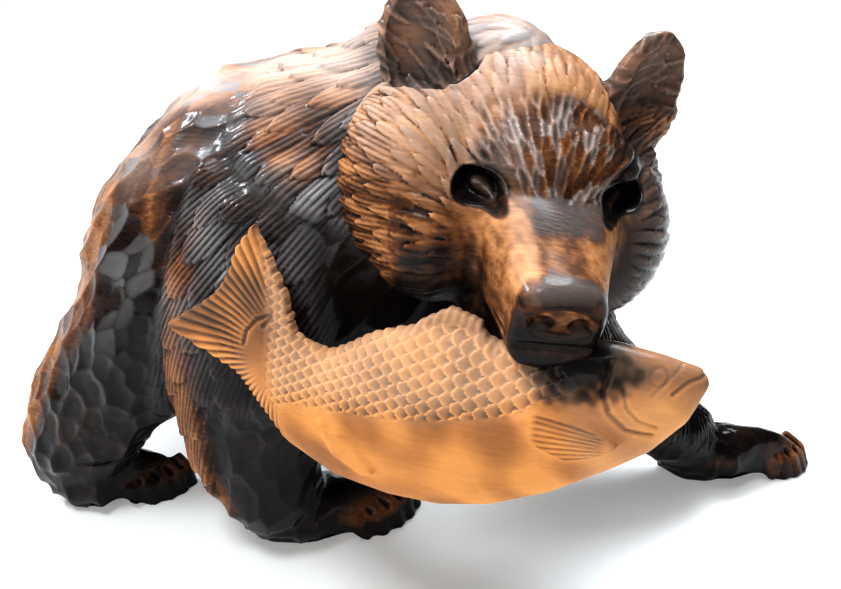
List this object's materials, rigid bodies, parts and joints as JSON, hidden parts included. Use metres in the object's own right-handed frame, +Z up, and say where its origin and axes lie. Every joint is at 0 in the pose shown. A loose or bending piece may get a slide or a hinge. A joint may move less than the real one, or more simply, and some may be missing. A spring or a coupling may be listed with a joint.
{
  "type": "carved wooden bear",
  "caption": "Walking bear carved from one block of dark wood, its head turned to its right with a salmon held crosswise in its jaws; stands on its own four feet.",
  "frame": {"origin": "middle of the bounding box on the ground, under the carving", "axes": "+X the way the bear walks, +Y its left side, +Z up; its head is turned to its right and faces -Y"},
  "size_m": [0.3834, 0.1898, 0.2549],
  "materials": {
    "dark_wood": "carved, stained dark and oiled, worn to bare orange-brown wood on the head, the ridges and the salmon"
  },
  "bodies": {
    "root": {"carved_bear": "dark_wood"}
  },
  "joints": []
}
